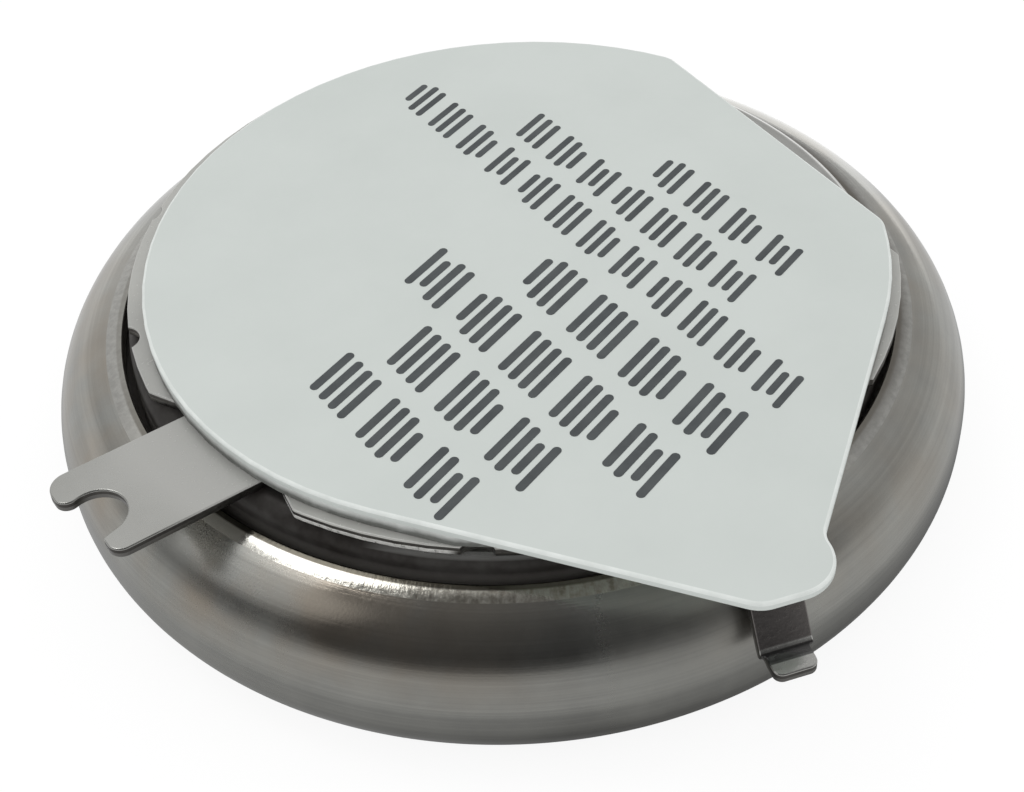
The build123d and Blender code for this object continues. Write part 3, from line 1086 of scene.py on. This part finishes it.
# The room as the steel shows it: its brightness by elevation, on the four sides of the cell
brightest = 1.2
front_azimuth = -96
room_levels = {
    "front": ((0, 0.42), (8, 0.34), (14, 0.17), (19, 0.09), (27, 0.04), (55, 0.07), (75, 0.11), (90, 0.18)),
    "right": ((0, 0.62), (11, 0.55), (18, 0.50), (26, 0.47), (60, 0.47), (75, 0.30), (90, 0.18)),
    "back": ((0, 0.77), (20, 0.66), (40, 0.72), (60, 0.68), (82, 0.50), (90, 0.18)),
    "left": ((0, 0.44), (7, 0.29), (13, 0.13), (18, 0.07), (28, 0.09), (60, 0.13), (90, 0.18)),
}

# Soft windows in it, each with its azimuth, elevation, level and the angles of its core and edge
soft_windows = ((158, 44.5, 0.60, 10, 24), (124, 9, 0.20, 4, 13))

# The same light from all sides on what isn't glossy
room_light = 0.915

# The floor as the steel shows it: its brightness from the front, at -1, to the back, at 1
floor_half = 1.0
floor_back_azimuth = 60
floor_levels = ((-1.0, 0.475), (-0.7, 0.55), (-0.2, 0.60), (0.6, 0.71), (1.0, 1.0))
floor_glow = 0.35
glow_reach = (30, 13, 24)

# Painted shadow: it is darker close to the cell, and least so on the cell's left
dim_start = 4.85
dim_end = 5.9
dim_level = 0.31
dim_level_left = 0.66
left_reach = (-178, 15, 60)

# To the camera the floor is nearly even white, with a share of the cell's shadow
floor_paint = 0.9
floor_white = 1.04
floor_white_share = 0.86


def stepped(tree, value, low, high, stops):
    """Brightness that follows a value through stops."""
    ramp = tree.nodes.new("ShaderNodeValToRGB")
    ramp.color_ramp.interpolation = "LINEAR"
    elements = ramp.color_ramp.elements
    while len(elements) < len(stops):
        elements.new(0.5)
    for element, (place, level) in zip(elements, stops):
        element.position = (place - low) / (high - low)
        shade = level / brightest
        element.color = (shade, shade, shade, 1)
    tree.links.new(ranged(tree, value, low, high), ramp.inputs[0])
    return product(tree, ramp.outputs[0], brightest)


def mixed_shader(tree, factor, first, second):
    """Shader between two, by a number or a socket."""
    made = tree.nodes.new("ShaderNodeMixShader")
    for socket, value in zip(made.inputs, (factor, first, second)):
        feed(tree, socket, value)
    return made.outputs[0]


def gloss_or_through(tree, rays):
    """1 for what metal reflects or glass lets through."""
    return maths(tree, "MAXIMUM", rays.outputs["Is Glossy Ray"], rays.outputs["Is Transmission Ray"])


def floor_brightness(tree):
    """The floor's brightness in a reflection, with a painted shadow close to the cell."""
    place = place_in_mm(tree)
    length = node(tree, "ShaderNodeVectorMath", operation="LENGTH", Vector=place)
    away = length.outputs["Value"]
    share = maths(tree, "DIVIDE", dotted(tree, place, bearing(floor_back_azimuth)), away)
    level = stepped(tree, share, -1.0, 1.0, floor_levels)
    level = maths(tree, "ADD", level, product(tree, side_mask(tree, glow_reach), floor_glow))
    # Painted shadow of the cell on the floor, as reflections show it
    dim = ranged(tree, side_mask(tree, left_reach), 0.0, 1.0, dim_level, dim_level_left)
    clear = ranged(tree, away, dim_start, dim_end)
    near = maths(tree, "ADD", clear, product(tree, dim, rest(tree, clear)))
    return product(tree, level, near)


def floor_material():
    """Nearly white to the camera, as the steel shows it in reflections, else plain and matt."""
    material = bpy.data.materials.new("floor")
    material.use_nodes = True
    tree = material.node_tree
    tree.nodes.clear()
    paint = (floor_paint, floor_paint, floor_paint, 1)
    matt = node(tree, "ShaderNodeBsdfDiffuse", Color=paint).outputs[0]
    white = node(tree, "ShaderNodeEmission", Strength=floor_white).outputs[0]
    seen = node(tree, "ShaderNodeEmission", Strength=floor_brightness(tree)).outputs[0]
    rays = tree.nodes.new("ShaderNodeLightPath")
    for_camera = mixed_shader(tree, floor_white_share, matt, white)
    shown = mixed_shader(tree, rays.outputs["Is Camera Ray"], matt, for_camera)
    shown = mixed_shader(tree, gloss_or_through(tree, rays), shown, seen)
    tree.links.new(shown, tree.nodes.new("ShaderNodeOutputMaterial").inputs[0])
    return material


def build_floor():
    """A square floor under the cell."""
    mesh = bpy.data.meshes.new("floor")
    sides = ((-1, -1), (1, -1), (1, 1), (-1, 1))
    corners = [(x * floor_half, y * floor_half, 0) for x, y in sides]
    mesh.from_pydata(corners, [], [(0, 1, 2, 3)])
    mesh.materials.append(floor_material())
    floor = bpy.data.objects.new("floor", mesh)
    bpy.context.scene.collection.objects.link(floor)


def room_brightness(tree):
    """The room's brightness in a reflection."""
    direction = tree.nodes.new("ShaderNodeTexCoord").outputs["Generated"]
    rise = node(tree, "ShaderNodeSeparateXYZ", Vector=direction).outputs[2]
    elevation = product(tree, maths(tree, "ARCSINE", rise), 180 / pi)
    level_part = maths(tree, "SQRT", rest(tree, product(tree, rise, rise)))
    room = None
    for side, stops in enumerate(room_levels.values()):
        facing = dotted(tree, direction, bearing(front_azimuth + 90 * side))
        share = maths(tree, "MAXIMUM", maths(tree, "DIVIDE", facing, level_part), 0.0)
        lit = product(tree, share, share, stepped(tree, elevation, 0.0, 90.0, stops))
        room = maths(tree, "ADD", room, lit) if room else lit
    for azimuth, height, level, core, edge in soft_windows:
        window = facing_mask(tree, direction, bearing(azimuth, height), core, edge, level)
        room = maths(tree, "ADD", room, window)
    return room


def build_room():
    """Surroundings: white to the camera, even to matt surfaces, the room to glossy ones."""
    world = bpy.data.worlds.new("studio")
    bpy.context.scene.world = world
    world.use_nodes = True
    tree = world.node_tree
    tree.nodes.clear()
    rays = tree.nodes.new("ShaderNodeLightPath")
    camera_ray = rays.outputs["Is Camera Ray"]
    glossy = gloss_or_through(tree, rays)
    even = product(tree, rest(tree, glossy), room_light)
    strength = maths(tree, "ADD", even, product(tree, glossy, room_brightness(tree)))
    strength = maths(tree, "ADD", product(tree, strength, rest(tree, camera_ray)), camera_ray)
    background = node(tree, "ShaderNodeBackground", Color=(1, 1, 1, 1), Strength=strength)
    tree.links.new(background.outputs[0], tree.nodes.new("ShaderNodeOutputWorld").inputs[0])


# Lamp: a small softbox behind the cell, whose image lies on the burnished ring
lamp_azimuth = 127.0
lamp_elevation = 67.0
lamp_distance = 0.09
lamp_spread = 9.0
lamp_radiance = 3.6


def place_lamp():
    """Round area lamp, turned to the cell."""
    way = bearing(lamp_azimuth, lamp_elevation)
    radius = lamp_distance * tan(radians(lamp_spread))
    data = bpy.data.lights.new("lamp", "AREA")
    data.shape = "DISK"
    data.size = 2 * radius
    data.energy = lamp_radiance * pi * pi * radius**2
    lamp = bpy.data.objects.new("lamp", data)
    lamp.location = way * lamp_distance
    lamp.rotation_euler = way.to_track_quat("Z", "Y").to_euler()
    bpy.context.scene.collection.objects.link(lamp)


def place_camera():
    """The camera that the photograph was taken with."""
    data = bpy.data.cameras.new("camera")
    data.sensor_width = sensor_width
    data.lens = focal_pixels / image_width * sensor_width
    data.clip_start = nearest_shown
    data.clip_end = furthest_shown
    camera = bpy.data.objects.new("camera", data)
    bpy.context.scene.collection.objects.link(camera)
    back = (camera_place - camera_target).normalized()
    facing = back.to_track_quat("Z", "Y").to_matrix().to_4x4()
    roll = Matrix.Rotation(radians(camera_roll), 4, "Z")
    camera.matrix_world = Matrix.Translation(camera_place * mm) @ facing @ roll
    bpy.context.scene.camera = camera


build_can()
build_cap()
build_plate()
build_label()
dress_inner_pieces()
build_marks()
build_floor()
build_room()
place_lamp()
place_camera()
bpy.context.scene.view_settings.view_transform = "Standard"
